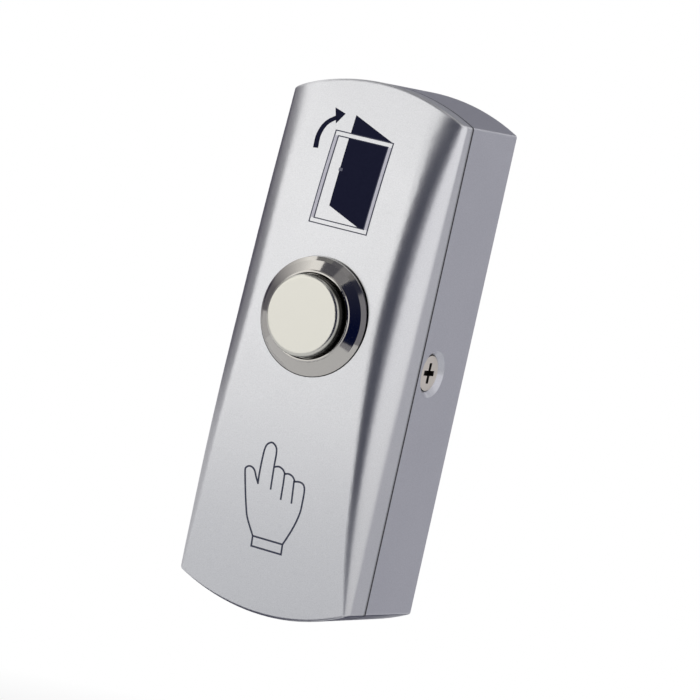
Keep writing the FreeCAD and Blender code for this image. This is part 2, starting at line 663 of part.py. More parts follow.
def draw_slot(sketch, height):
    """An upright slot with round ends, centred on the sketch's vertical axis."""
    middle = value(height)
    radius = value("slot_width") / 2
    reach = value("slot_length") / 2 - radius
    first = sketch.GeometryCount
    upper = Part.Circle(Vector(0, middle + reach, 0), Vector(0, 0, 1), radius)
    lower = Part.Circle(Vector(0, middle - reach, 0), Vector(0, 0, 1), radius)
    right = Part.LineSegment(Vector(radius, middle - reach, 0), Vector(radius, middle + reach, 0))
    left = Part.LineSegment(Vector(-radius, middle + reach, 0), Vector(-radius, middle - reach, 0))
    sketch.addGeometry(right, False)
    sketch.addGeometry(Part.ArcOfCircle(upper, 0, math.pi), False)
    sketch.addGeometry(left, False)
    sketch.addGeometry(Part.ArcOfCircle(lower, math.pi, 2 * math.pi), False)
    for index in range(4):
        following = first + (index + 1) % 4
        sketch.addConstraint(Sketcher.Constraint("Tangent", first + index, 2, following, 1))
    place = sketch.addConstraint(Sketcher.Constraint("Radius", first + 1, radius))
    sketch.setExpression(f"Constraints[{place}]", named("slot_width / 2"))
    pin(sketch, first + 1, 3, "0", f"{height} + (slot_length - slot_width) / 2")
    pin(sketch, first + 3, 3, "0", f"{height} - (slot_length - slot_width) / 2")


def make_cover_screws():
    """Countersunk cross-head screws, one in each side of the box."""
    head = "screw_head / 2"
    shank = "(screw_thread / 2 - thread_gap)"
    body = doc.addObject("PartDesign::Body", "side_screw")
    profile = new_sketch(body, "side_screw_profile", "XZ_Plane")
    draw_polygon(profile, [
        ("0", "0"),
        (f"{shank} - edge_break", "0"),
        (shank, "edge_break"),
        (shank, f"screw_length - screw_band - ({head} - {shank})"),
        (head, "screw_length - screw_band"),
        (head, "screw_length"),
        ("0", "screw_length"),
    ])
    turn = body.newObject("PartDesign::Revolution", "side_screw_turn")
    turn.Profile = profile
    turn.ReferenceAxis = (profile, ["V_Axis"])
    turn.Angle = 360
    doc.recompute()
    cross = new_sketch(body, "side_screw_cross", "XY_Plane", ("0", "0", "screw_length"))
    arm = "screw_cross"
    thick = "(cross_width / 2)"
    draw_polygon(cross, [
        (thick, thick), (arm, thick), (arm, f"-{thick}"), (thick, f"-{thick}"),
        (thick, f"-{arm}"), (f"-{thick}", f"-{arm}"), (f"-{thick}", f"-{thick}"),
        (f"-{arm}", f"-{thick}"), (f"-{arm}", thick), (f"-{thick}", thick),
        (f"-{thick}", arm), (thick, arm),
    ])
    pocket(body, cross, "cross_depth")
    body.Placement.Rotation = FreeCAD.Rotation(Vector(0, 1, 0), 90)
    body.setExpression("Placement.Base.x", named("body_width / 2 - screw_sink - screw_length"))
    body.setExpression("Placement.Base.y", named(f"-{SIDE_SCREW}"))
    doc.recompute()
    twin = mirrored("side_screw_left", body, Vector(1, 0, 0))
    return label(combine("Compound", "side_screw_pair", body, twin), "cover_screws")


def make_button_housing():
    """Turned metal housing: bevelled rim with a bright bead, threaded barrel and inner web."""
    rim = "rim_diameter / 2"
    barrel = "barrel_diameter / 2"
    bore = "cap_diameter / 2 + cap_gap"
    bead_in = "(bead_diameter - bead_width) / 2"
    bead_out = "(bead_diameter + bead_width) / 2"
    guide = "rod_diameter / 2 + rod_gap"
    body = turned("button_housing", BARREL_REAR, [
        ("rear_bore / 2", BARREL_REAR),
        (f"{barrel} - edge_break", BARREL_REAR),
        (barrel, f"{BARREL_REAR} + edge_break"),
        (barrel, FLANGE_REAR),
        (rim, FLANGE_REAR),
        (rim, RIM_EDGE),
        (f"{rim} - rim_chamfer", f"{RIM_EDGE} + rim_chamfer_rise"),
        (bead_out, f"{BEAD_TOP} - bead_edge"),
        (bead_out, BEAD_TOP),
        (bead_in, BEAD_TOP),
        (bead_in, f"{BEAD_TOP} - bead_step"),
        (bore, f"{BEAD_TOP} - bead_step"),
        (bore, "web_level"),
        (guide, "web_level"),
        (guide, WEB_REAR),
        ("rear_bore / 2", WEB_REAR),
    ])
    base = body.Tip
    top = value(f"{BEAD_TOP} - {BARREL_REAR}")
    crest = edges_where(base.Shape, lambda edge, middle: abs(middle.z - top) < NEAR)
    body.Tip = dress(body, "Fillet", base, crest, "bead_round")
    return label(body, "button_housing")


def make_button_cap():
    """Turned cap with a rounded edge, a skirt with a ring groove and a boss for the rod."""
    outer = "cap_diameter / 2"
    groove = f"({outer} - ring_section)"
    low = "(ring_level - ring_section / 2 - groove_play)"
    high = "(ring_level + ring_section / 2 + groove_play)"
    body = turned("button_cap", CAP_REAR, [
        ("cap_bore / 2", CAP_REAR),
        (outer, CAP_REAR),
        (outer, low),
        (groove, low),
        (groove, high),
        (outer, high),
        (outer, CAP_FRONT),
        ("0", CAP_FRONT),
        ("0", BOSS_END),
        ("boss_diameter / 2", BOSS_END),
        ("boss_diameter / 2", CAP_ROOF),
        ("cap_bore / 2", CAP_ROOF),
    ])
    base = body.Tip
    front = value(f"{CAP_FRONT} - {CAP_REAR}")
    edge = edges_where(base.Shape, lambda edge, middle: abs(middle.z - front) < NEAR)
    body.Tip = dress(body, "Fillet", base, edge, "cap_round")
    return label(body, "button_cap")


def ring(name, mean_diameter, section, level):
    """A round-section ring about the button axis."""
    torus = doc.addObject("Part::Torus", name)
    torus.setExpression("Radius1", named(f"({mean_diameter}) / 2"))
    torus.setExpression("Radius2", named(f"({section}) / 2"))
    face_out(torus, level)
    return label(torus, name)


def make_plunger_rod():
    """Steel rod from the cap's boss through the web to the bridge, with a clip groove."""
    thick = "rod_diameter / 2"
    neck = "rod_neck / 2"
    groove = "clip_groove / 2"
    clip_front = WEB_REAR
    clip_rear = f"({WEB_REAR} - clip_thickness - 2 * clip_play)"
    body = turned("plunger_rod", ROD_TIP, [
        ("0", ROD_TIP),
        (f"{neck} - edge_break", ROD_TIP),
        (neck, f"{ROD_TIP} + edge_break"),
        (neck, SHOULDER),
        (thick, SHOULDER),
        (thick, clip_rear),
        (groove, clip_rear),
        (groove, clip_front),
        (thick, clip_front),
        (thick, BOSS_END),
        ("0", BOSS_END),
    ])
    return label(body, "plunger_rod")


def make_retaining_clip():
    """Spring clip: a flat ring with an opening wide enough to snap over the groove."""
    body = doc.addObject("PartDesign::Body", "retaining_clip")
    sketch = new_sketch(body, "clip_sketch", "XY_Plane")
    draw_circle(sketch, "0", "0", "clip_diameter")
    draw_circle(sketch, "0", "0", "clip_groove + 2 * clip_play")
    pad(body, sketch, "clip_thickness")
    mouth = new_sketch(body, "clip_mouth", "XY_Plane", ("0", "0", "clip_thickness"))
    left, right = "-clip_mouth / 2", "clip_mouth / 2"
    draw_polygon(mouth, [(left, "0"), (right, "0"), (right, "clip_diameter"),
                         (left, "clip_diameter")])
    pocket(body, mouth, "clip_thickness + cut_spare")
    face_out(body, f"{WEB_REAR} - clip_thickness - clip_play")
    return label(body, "retaining_clip")


def coil(name, wire, mean_diameter, turns, rear, front):
    """A compression spring between two levels, with one closed coil at each end."""
    thick = value(wire)
    radius = value(f"{mean_diameter} / 2")
    closed_rise = thick * (1 + value("coil_play"))
    length = value(f"{front} - {rear}")
    open_rise = length - thick - 2 * closed_rise
    total = value(turns) + 2
    count = round(total * COIL_POINTS)
    points = []
    for index in range(count + 1):
        turn = index * total / count
        opened = min(max(turn - 1, 0), value(turns))
        closed = turn - opened
        height = thick / 2 + closed * closed_rise + opened * open_rise / value(turns)
        angle = 2 * math.pi * turn
        points.append(Vector(radius * math.cos(angle), radius * math.sin(angle), height))
    path = Part.BSplineCurve()
    path.interpolate(points)
    start_along = path.tangent(path.FirstParameter)[0]
    section = Part.Wire(Part.Circle(points[0], start_along, thick / 2).toShape())
    pipe = Part.BRepOffsetAPI.MakePipeShell(Part.Wire(path.toShape()))
    pipe.setFrenetMode(True)
    pipe.add(section)
    pipe.build()
    pipe.makeSolid()
    spring = shape_feature(name, pipe.shape())
    face_out(spring, rear)
    doc.recompute()
    return label(spring, name)


def make_lock_washer():
    """Toothed washer: a flat ring with notches round its outside."""
    body = doc.addObject("PartDesign::Body", "lock_washer")
    sketch = new_sketch(body, "washer_sketch", "XY_Plane")
    draw_circle(sketch, "0", "0", "washer_diameter")
    draw_circle(sketch, "0", "0", "barrel_diameter + 2 * barrel_gap")
    pad(body, sketch, "washer_thickness")
    notch = new_sketch(body, "washer_notch", "XY_Plane", ("0", "0", "washer_thickness"))
    near = "washer_diameter / 2 - notch_depth"
    far = "washer_diameter / 2 + notch_depth"
    mouth = "notch_width * (0.5 + notch_flare)"
    draw_polygon(notch, [("-notch_width / 2", near), ("notch_width / 2", near),
                         (mouth, far), (f"-{mouth}", far)])
    cut = pocket(body, notch, "washer_thickness + cut_spare")
    teeth = body.newObject("PartDesign::PolarPattern", "washer_teeth_pattern")
    teeth.Originals = [cut]
    teeth.Axis = (notch, ["N_Axis"])
    teeth.Angle = 360
    teeth.setExpression("Occurrences", named("washer_teeth"))
    body.Tip = teeth
    face_out(body, NUT_FRONT)
    doc.recompute()
    return label(body, "lock_washer")


def make_mounting_nut():
    """Thin hexagon nut on the barrel, flats towards the box's sides, corners chamfered."""
    prism = doc.addObject("Part::Prism", "nut_hexagon")
    prism.Polygon = 6
    prism.setExpression("Circumradius", named("nut_width / sqrt(3)"))
    prism.setExpression("Height", named("nut_thickness"))
    prism.Placement.Rotation = FACING_OUT.multiply(FreeCAD.Rotation(Vector(0, 0, 1), 30))
    prism.setExpression("Placement.Base.y", named(f"-({NUT_FRONT} - nut_thickness)"))
    prism.setExpression("Placement.Base.z", named("button_height"))
    cone = turned("nut_chamfer", f"{NUT_FRONT} - nut_thickness", [
        ("barrel_diameter / 2 + thread_gap", f"{NUT_FRONT} - nut_thickness"),
        ("nut_width / 2", f"{NUT_FRONT} - nut_thickness"),
        ("nut_width / sqrt(3)", f"{NUT_FRONT} - nut_thickness + nut_chamfer"),
        ("nut_width / sqrt(3)", NUT_FRONT),
        ("barrel_diameter / 2 + thread_gap", NUT_FRONT),
    ])
    return label(combine("Common", "nut_solid", prism, cone), "mounting_nut")


def make_switch_housing():
    """Moulded body: a plug that fits the barrel's rear, a collar and an open bore."""
    plug = "rear_bore / 2 - housing_gap"
    bore = "housing_bore / 2"
    body = turned("switch_housing", "housing_rear", [
        (bore, "housing_rear"),
        ("housing_diameter / 2", "housing_rear"),
        ("housing_diameter / 2", BARREL_REAR),
        (plug, BARREL_REAR),
        (plug, "housing_front - edge_break"),
        (f"{plug} - edge_break", "housing_front"),
        (bore, "housing_front"),
    ])
    holes = new_sketch(body, "housing_screw_holes", "XY_Plane")
    for sign in ("", "-"):
        draw_circle(holes, f"{sign}base_screw_offset", "0", "base_screw_thread")
    pocket(body, holes, "base_screw_length - base_thickness + hole_spare", flip=True)
    return label(body, "switch_housing")


def make_switch_base():
    """Moulded plate behind the housing, with slots for the terminals and screw holes."""
    body = turned("switch_base", BASE_REAR, [
        ("0", BASE_REAR),
        ("housing_diameter / 2", BASE_REAR),
        ("housing_diameter / 2", "housing_rear"),
        ("0", "housing_rear"),
    ])
    holes = new_sketch(body, "base_holes", "XY_Plane", ("0", "0", "base_thickness"))
    for sign in ("", "-"):
        draw_circle(holes, f"{sign}base_screw_offset", "0", "base_screw_thread + hole_play")
        low = f"{sign}(contact_offset + leg_gap)"
        high = f"{sign}(contact_offset - terminal_thickness - leg_gap)"
        half = "leg_width / 2 + leg_gap"
        draw_polygon(holes, [(f"-({half})", low), (half, low), (half, high), (f"-({half})", high)])
    pocket(body, holes, "base_thickness + cut_spare")
    threads = new_sketch(body, "terminal_threads", "XY_Plane")
    for sign in ("", "-"):
        draw_circle(threads, "0", f"{sign}terminal_screw_offset", "terminal_screw_thread")
    pocket(body, threads,
           "terminal_screw_length - terminal_thickness - clamp_thickness + hole_spare", flip=True)
    return label(body, "switch_base")


def make_terminal(name, sign):
    """Bent strip: contact pad on the base's front, a leg through it and a tab on its rear."""
    half = "leg_width / 2"
    leg_out = "contact_offset"
    leg_in = "(contact_offset - terminal_thickness)"

    def span(near, far):
        edges = (f"button_height + ({near})", f"button_height + ({far})")
        if sign < 0:
            edges = (f"button_height - ({far})", f"button_height - ({near})")
        return edges

    pad_block = block(name + "_pad", ("-terminal_width / 2", "terminal_width / 2"),
                      ("housing_rear", PAD_FRONT), span(leg_in, "contact_offset + contact_head / 2"))
    leg = block(name + "_leg", (f"-({half})", half), (TAB_REAR, PAD_FRONT), span(leg_in, leg_out))
    tab = block(name + "_tab", ("-terminal_width / 2", "terminal_width / 2"),
                (TAB_REAR, BASE_REAR), span(leg_in, "terminal_reach"))
    strip = combine("MultiFuse", name + "_strip", pad_block, leg, tab)
    side = "+" if sign > 0 else "-"
    hole = rod(name + "_hole", "terminal_screw_thread + hole_play", ("0", BASE_REAR),
               height=f"button_height {side} terminal_screw_offset")
    return label(combine("Cut", name, strip, hole), name)


def pair(name, maker):
    """Two like pieces, above and below the button axis, as one group of solids."""
    upper = maker(name + "_upper", "+")
    lower = maker(name + "_lower", "-")
    return label(combine("Compound", name, upper, lower), name)


def contact_button(levels):
    """A maker of round contacts at a pair of levels."""
    def maker(name, side):
        return rod(name, "contact_head", levels, height=f"button_height {side} contact_offset")
    return maker


def screw_body(name, thread, head, head_height, length):
    """A small cheese-head screw with a slot, driven towards -Y from the rear."""
    body = doc.addObject("PartDesign::Body", name)
    profile = new_sketch(body, name + "_profile", "XZ_Plane")
    shank = f"(({thread}) / 2 - thread_gap)"
    tip = f"({head_height} + {length})"
    draw_polygon(profile, [
        ("0", "0"), (f"({head}) / 2 - edge_break", "0"), (f"({head}) / 2", "edge_break"),
        (f"({head}) / 2", head_height), (shank, head_height), (shank, f"{tip} - edge_break"),
        (f"{shank} - edge_break", tip), ("0", tip),
    ])
    turn = body.newObject("PartDesign::Revolution", name + "_turn")
    turn.Profile = profile
    turn.ReferenceAxis = (profile, ["V_Axis"])
    turn.Angle = 360
    doc.recompute()
    slot = new_sketch(body, name + "_slot", "XY_Plane")
    low, high = "-slot_cut / 2", "slot_cut / 2"
    draw_polygon(slot, [(f"-({head})", low), (head, low), (head, high), (f"-({head})", high)])
    pocket(body, slot, f"{head_height} / 2", flip=True)
    return body


def terminal_screw(name, side):
    """One terminal screw with its head behind the clamp."""
    body = screw_body(name, "terminal_screw_thread", "terminal_screw_head",
                      "terminal_head_height", "terminal_screw_length")
    face_out(body, f"{CLAMP_REAR} - terminal_head_height",
             height=f"button_height {side} terminal_screw_offset")
    return body


def wire_clamp(name, side):
    """One square clamp plate under a terminal screw."""
    plate = block(name + "_plate", ("-clamp_width / 2", "clamp_width / 2"), (CLAMP_REAR, TAB_REAR),
                  (f"button_height {side} terminal_screw_offset - clamp_width / 2",
                   f"button_height {side} terminal_screw_offset + clamp_width / 2"))
    hole = rod(name + "_hole", "terminal_screw_thread + hole_play", ("0", TAB_REAR),
               height=f"button_height {side} terminal_screw_offset")
    return combine("Cut", name, plate, hole)


def base_screw(name, side):
    """One screw from the base into the housing's wall."""
    body = screw_body(name, "base_screw_thread", "base_screw_head", "base_head_height",
                      "base_screw_length")
    face_out(body, f"{BASE_REAR} - base_head_height", across=f"{side}base_screw_offset")
    return body


def make_contact_bridge():
    """Strip that joins the two fixed contacts, with a hole for the rod's neck."""
    strip = block("bridge_strip", ("-bridge_width / 2", "bridge_width / 2"),
                  (BRIDGE_REAR, BRIDGE_FRONT),
                  ("button_height - bridge_length / 2", "button_height + bridge_length / 2"))
    eye = rod("bridge_eye", "retainer_diameter", (BRIDGE_REAR, BRIDGE_FRONT))
    blank = combine("MultiFuse", "bridge_blank", strip, eye)
    hole = rod("bridge_hole", "rod_neck + 2 * rod_gap", ("0", "box_depth"))
    return label(combine("Cut", "bridge_cut", blank, hole), "contact_bridge")


def make_cable_grommet():
    """Rubber grommet: two flanges with a groove for the box's floor between them."""
    return turned("cable_grommet", "0", [
        ("cable_bore / 2", "0"),
        ("grommet_flange / 2", "0"),
        ("grommet_flange / 2", "grommet_sink"),
        ("cable_hole / 2 - grommet_gap", "grommet_sink"),
        ("cable_hole / 2 - grommet_gap", "box_floor + grommet_gap"),
        ("grommet_flange / 2 - grommet_taper", "box_floor + grommet_gap"),
        ("cable_bore / 2 + grommet_taper", "box_floor + grommet_front"),
        ("cable_bore / 2", "box_floor + grommet_front"),
    ], height="cable_height")


def make_all():
    """Every finished piece of the door exit button."""
    barrel_fit = "barrel_diameter / 2 + thread_gap"
    grip = "rod_neck / 2"
    retainer_rear = f"({BRIDGE_REAR} - retainer_thickness)"
    return [
        make_front_cover(),
        make_back_box(),
        make_cover_screws(),
        make_button_housing(),
        label(turned("flange_seal", SEAT, [
            (barrel_fit, SEAT), ("rim_diameter / 2 - edge_break", SEAT),
            ("rim_diameter / 2 - edge_break", FLANGE_REAR), (barrel_fit, FLANGE_REAR),
        ]), "flange_seal"),
        make_lock_washer(),
        make_mounting_nut(),
        make_button_cap(),
        ring("cap_seal", "cap_diameter - ring_section + cap_gap", "ring_section", "ring_level"),
        make_plunger_rod(),
        make_retaining_clip(),
        coil("return_spring", "return_wire", "return_coil", "return_turns", "web_level", CAP_ROOF),
        coil("contact_spring", "contact_wire", "contact_coil", "contact_turns",
             BRIDGE_FRONT, SHOULDER),
        make_contact_bridge(),
        pair("bridge_contacts", contact_button((f"{BRIDGE_REAR} - contact_height", BRIDGE_REAR))),
        label(turned("bridge_retainer", retainer_rear, [
            (grip, retainer_rear), ("retainer_diameter / 2", retainer_rear),
            ("retainer_diameter / 2", BRIDGE_REAR), (grip, BRIDGE_REAR),
        ]), "bridge_retainer"),
        make_switch_housing(),
        make_switch_base(),
        make_terminal("open_terminal", 1),
        make_terminal("common_terminal", -1),
        pair("fixed_contacts", contact_button((PAD_FRONT, FIXED_FACE))),
        pair("terminal_screws", terminal_screw),
        pair("wire_clamps", wire_clamp),
        pair("base_screws", base_screw),
        label(make_cable_grommet(), "cable_grommet"),
    ]


def check(pieces):
    """Stop before anything is written if a feature failed or a shape is not sound."""
    doc.recompute()
    for item in doc.Objects:
        if "Invalid" in item.State or "Error" in item.State:
            raise RuntimeError(f"{item.Label} failed: {item.State}")
    for piece in pieces:
        shape = piece.Shape
        if shape.isNull() or not shape.isValid() or not shape.Solids:
            raise RuntimeError(f"{piece.Label} has no sound solid")


def write(pieces):
    """Write each piece to its own STEP file."""
    os.makedirs("parts", exist_ok=True)
    for piece in pieces:
        piece.Shape.exportStep(f"parts/{piece.Label}.step")
        box = piece.Shape.BoundBox
        print(f"{piece.Label}: {len(piece.Shape.Solids)} solids, {piece.Shape.Volume:.1f} mm3, "
              f"X {box.XMin:.2f} {box.XMax:.2f}, Y {box.YMin:.2f} {box.YMax:.2f}, "
              f"Z {box.ZMin:.2f} {box.ZMax:.2f}")


finished = make_all()
check(finished)
write(finished)
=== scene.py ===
"""Door exit button, dressed: satin cast metal, bright button rim and two printed signs."""

import json
import math

import bmesh
import bpy
from mathutils import Matrix, Vector


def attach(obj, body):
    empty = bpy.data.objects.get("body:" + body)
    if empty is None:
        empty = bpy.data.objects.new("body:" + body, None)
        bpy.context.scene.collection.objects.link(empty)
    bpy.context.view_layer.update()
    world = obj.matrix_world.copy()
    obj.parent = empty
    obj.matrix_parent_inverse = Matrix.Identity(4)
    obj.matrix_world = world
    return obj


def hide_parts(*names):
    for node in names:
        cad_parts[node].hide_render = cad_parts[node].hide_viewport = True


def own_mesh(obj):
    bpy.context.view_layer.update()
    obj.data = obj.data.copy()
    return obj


MM = 0.001

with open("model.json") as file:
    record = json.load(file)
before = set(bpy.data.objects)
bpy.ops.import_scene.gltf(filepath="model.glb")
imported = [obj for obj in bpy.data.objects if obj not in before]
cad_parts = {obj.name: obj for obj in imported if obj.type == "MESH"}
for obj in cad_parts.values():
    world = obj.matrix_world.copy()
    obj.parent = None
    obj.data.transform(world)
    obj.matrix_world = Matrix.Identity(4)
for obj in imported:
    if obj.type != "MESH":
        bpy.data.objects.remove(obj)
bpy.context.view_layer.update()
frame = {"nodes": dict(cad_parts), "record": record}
nodes = frame["nodes"]


# Node helpers
# Painted crevice shade: samples that look for nearby surfaces, and the darkest share of colour it
# leaves
CREVICE_SAMPLES = 8
CREVICE_SHADE = 0.1


class Nodes:
    """A node tree with short calls for adding and joining nodes."""

    def __init__(self, tree):
        self.tree = tree

    def node(self, kind, **settings):
        """Add a node; settings are its properties."""
        made = self.tree.nodes.new("ShaderNode" + kind)
        for name, value in settings.items():
            setattr(made, name, value)
        return made

    def join(self, source, target):
        """Link an output to an input."""
        self.tree.links.new(source, target)

    def math(self, operation, first, second=0.0):
        """Combine two values, each a socket or a number."""
        made = self.node("Math", operation=operation)
        for source, target in zip((first, second), made.inputs):
            if isinstance(source, (int, float)):
                target.default_value = source
            else:
                self.join(source, target)
        return made.outputs["Value"]

    def ramp(self, source, low, high, start=0.0, end=1.0):
        """Go from low to high as a value goes from start to end, and stay there beyond."""
        made = self.node("MapRange")
        made.inputs["From Min"].default_value = start
        made.inputs["From Max"].default_value = end
        made.inputs["To Min"].default_value = low
        made.inputs["To Max"].default_value = high
        self.join(source, made.inputs["Value"])
        return made.outputs["Result"]

    def mix(self, factor, first, second):
        """One of two shaders, by a value."""
        made = self.node("MixShader")
        for source, target in zip((factor, first, second), made.inputs):
            self.join(source, target)
        return made.outputs["Shader"]


class Shader(Nodes):
    """A material with its surface shader."""

    def __init__(self, name):
        self.material = bpy.data.materials.new(name)
        self.material.use_nodes = True
        super().__init__(self.material.node_tree)
        self.surface = self.tree.nodes["Principled BSDF"]

    def set(self, **values):
        """Set sockets of the surface shader by name, with _ for a space."""
        for name, value in values.items():
            self.surface.inputs[name.replace("_", " ")].default_value = value

    def noise(self, scale, detail):
        """Noise with about this many lumps per millimetre."""
        made = self.node("TexNoise")
        made.inputs["Scale"].default_value = scale / MM
        made.inputs["Detail"].default_value = detail
        self.join(self.node("TexCoord").outputs["Object"], made.inputs["Vector"])
        return made.outputs["Fac"]

    def blend(self, factor, first, second):
        """Mix two colours by a value."""
        made = self.node("Mix", data_type="RGBA")
        made.inputs["A"].default_value = (*first, 1)
        made.inputs["B"].default_value = (*second, 1)
        self.join(factor, made.inputs["Factor"])
        return made.outputs["Result"]

    def shade(self, colour, amount):
        """Multiply a colour by a value."""
        made = self.node("Mix", data_type="RGBA", blend_type="MULTIPLY")
        made.inputs["Factor"].default_value = 1
        self.join(colour, made.inputs["A"])
        self.join(amount, made.inputs["B"])
        return made.outputs["Result"]

    def painted_crevice_shade(self, reach, closed, opened):
        """Painted shade: a value that falls where other surfaces close in within a reach in
        millimetres, to darken a colour there as shade would. It is full where the open share of the
        surroundings is above opened."""
        space = self.node("AmbientOcclusion", samples=CREVICE_SAMPLES)
        space.inputs["Distance"].default_value = reach * MM
        return self.ramp(space.outputs["AO"], CREVICE_SHADE, 1, closed, opened)

    def level(self):
        """How far a spot lies in front of the wall, in metres."""
        parts = self.node("SeparateXYZ")
        self.join(self.node("TexCoord").outputs["Object"], parts.inputs["Vector"])
        return self.math("MULTIPLY", parts.outputs["Y"], -1)

    def bump(self, height, distance, strength):
        """Raise the surface by a height field, to a distance in millimetres."""
        made = self.node("Bump")
        made.inputs["Strength"].default_value = strength
        made.inputs["Distance"].default_value = distance * MM
        self.join(height, made.inputs["Height"])
        self.join(made.outputs["Normal"], self.surface.inputs["Normal"])


# Finishes. The joint and the edge of the cap are levels, millimetres in front of the wall, near
# which painted shade darkens the colour. Shares multiply a finish's own colour or roughness, from
# the least to the most
JOINT = 15.0
JOINT_SHADE = 0.5
JOINT_SPREAD = (0.22, 0.5)
CAP_EDGE = 26.95
SKIRT_SHADE = 0.03
SKIRT_SPREAD = 0.3
FLAKE_SHARES = (0.95, 1.05)
FLAKE_EDGES = (0.35, 0.65)
PAINT_ROUGHNESS = (0.27, 0.33)
METAL_DARK = 0.93
METAL_SHARES = (0.85, 1.15)
DULL_PALE = 1.15
DULL_LIFT = 0.004
DULL_SHARES = (0.9, 1.1)


def cast_paint(name, colour):
    """Satin silver paint on cast metal: fine flakes, slight cloudiness and a grainy film, with
    painted shade darkening the recesses and the joint between cover and box."""
    shader = Shader(name)
    shader.set(Metallic=0.94, Coat_Weight=0.1, Coat_Roughness=0.2)
    flakes = shader.noise(scale=7.0, detail=3.0)
    clouds = shader.noise(scale=0.12, detail=1.0)
    dim, pale = ([part * share for part in colour] for share in FLAKE_SHARES)
    flaked = shader.blend(shader.ramp(flakes, 0, 1, *FLAKE_EDGES), dim, pale)
    # Painted shade: the colour darkens in recesses, where shade would fall
    shaded = shader.shade(flaked, shader.painted_crevice_shade(reach=0.7, closed=0.2, opened=0.75))
    # Painted shade along the joint between cover and box: the colour darkens near the joint's
    # level, where the gap's shade would fall
    from_joint = shader.math("ABSOLUTE", shader.math("SUBTRACT", shader.level(), JOINT * MM))
    near, far = (part * MM for part in JOINT_SPREAD)
    shaded = shader.shade(shaded, shader.ramp(from_joint, JOINT_SHADE, 1, near, far))
    shader.join(shaded, shader.surface.inputs["Base Color"])
    shader.join(shader.ramp(clouds, *PAINT_ROUGHNESS), shader.surface.inputs["Roughness"])
    shader.bump(shader.noise(scale=4.0, detail=4.0), distance=0.02, strength=0.5)
    return shader.material


def metal(name, colour, roughness, depth=0.002, scale=3.0, skirt_shade_level=None, crevice_shade_reach=None):
    """Bare or plated metal with a fine grain. It can carry painted shade behind a level, as on the
    side of a button cap, and painted shade in recesses within a reach, both in millimetres."""
    shader = Shader(name)
    shader.set(Metallic=1.0)
    marks = shader.noise(scale, detail=4.0)
    darker = [part * METAL_DARK for part in colour]
    shown = shader.blend(marks, darker, colour)
    # Painted shade: the colour goes dark behind the level, on the side of the cap
    if skirt_shade_level:
        behind = (skirt_shade_level - SKIRT_SPREAD) * MM
        dark = shader.ramp(shader.level(), SKIRT_SHADE, 1, behind, skirt_shade_level * MM)
        shown = shader.shade(shown, dark)
    # Painted shade in recesses within the reach
    if crevice_shade_reach:
        shown = shader.shade(shown, shader.painted_crevice_shade(crevice_shade_reach, closed=0.5, opened=0.85))
    shader.join(shown, shader.surface.inputs["Base Color"])
    smooth, rough = (roughness * share for share in METAL_SHARES)
    shader.join(shader.ramp(marks, smooth, rough), shader.surface.inputs["Roughness"])
    shader.bump(marks, depth, strength=0.5)
    return shader.material


def dull(name, colour, roughness, gloss=0.5):
    """Plastic, rubber or ink with a slight grain."""
    shader = Shader(name)
    shader.set(Specular_IOR_Level=gloss)
    marks = shader.noise(scale=2.0, detail=3.0)
    lighter = [part * DULL_PALE + DULL_LIFT for part in colour]
    shader.join(shader.blend(marks, colour, lighter), shader.surface.inputs["Base Color"])
    smooth, rough = (roughness * share for share in DULL_SHARES)
    shader.join(shader.ramp(marks, smooth, rough), shader.surface.inputs["Roughness"])
    shader.bump(marks, distance=0.01, strength=0.4)
    return shader.material


FINISHES = {
    "silver_cover": cast_paint("silver_cover", (0.84, 0.84, 0.85)),
    "silver_box": cast_paint("silver_box", (0.70, 0.70, 0.74)),
    "bezel_chrome": metal("bezel_chrome", (0.72, 0.69, 0.64), roughness=0.09, depth=0.0005),
    # The cap's side, behind its edge, carries painted shade
    "cap_steel": metal("cap_steel", (0.86, 0.84, 0.755), roughness=0.24, scale=6.0, skirt_shade_level=CAP_EDGE),
    # The screw head and its recess carry painted shade
    "screw_steel": metal("screw_steel", (0.90, 0.84, 0.76), roughness=0.5, crevice_shade_reach=1.5),
    "inner_steel": metal("inner_steel", (0.56, 0.56, 0.57), roughness=0.3),
    "inner_brass": metal("inner_brass", (0.74, 0.56, 0.27), roughness=0.28),
    "contact_silver": metal("contact_silver", (0.82, 0.82, 0.82), roughness=0.25),
    "black_plastic": dull("black_plastic", (0.022, 0.022, 0.025), roughness=0.42),
    "seal_rubber": dull("seal_rubber", (0.03, 0.03, 0.03), roughness=0.62),
}
navy_ink = dull("navy_ink", (0.008, 0.009, 0.029), roughness=0.6, gloss=0.06)
line_ink = dull("line_ink", (0.065, 0.068, 0.10), roughness=0.6, gloss=0.06)
grey_ink = dull("grey_ink", (0.16, 0.16, 0.20), roughness=0.6, gloss=0.1)
pale_ink = dull("pale_ink", (0.64, 0.62, 0.67), roughness=0.6, gloss=0.1)


def dress_nodes():
    """Give every CAD piece its finish."""
    slots = {part["node"]: part["material_slot"] for part in frame["record"]["subparts"]}
    for name, piece in nodes.items():
        piece.data.materials.clear()
        piece.data.materials.append(FINISHES[slots[name]])


def shorten_spring():
    """A copy of the return spring, hung on the case in place of the CAD spring, which is hidden."""
    coil = bpy.data.objects.new("return_coil", nodes["return_spring"].data.copy())
    bpy.context.collection.objects.link(coil)
    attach(coil, "case")
    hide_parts("return_spring")
    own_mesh(coil)


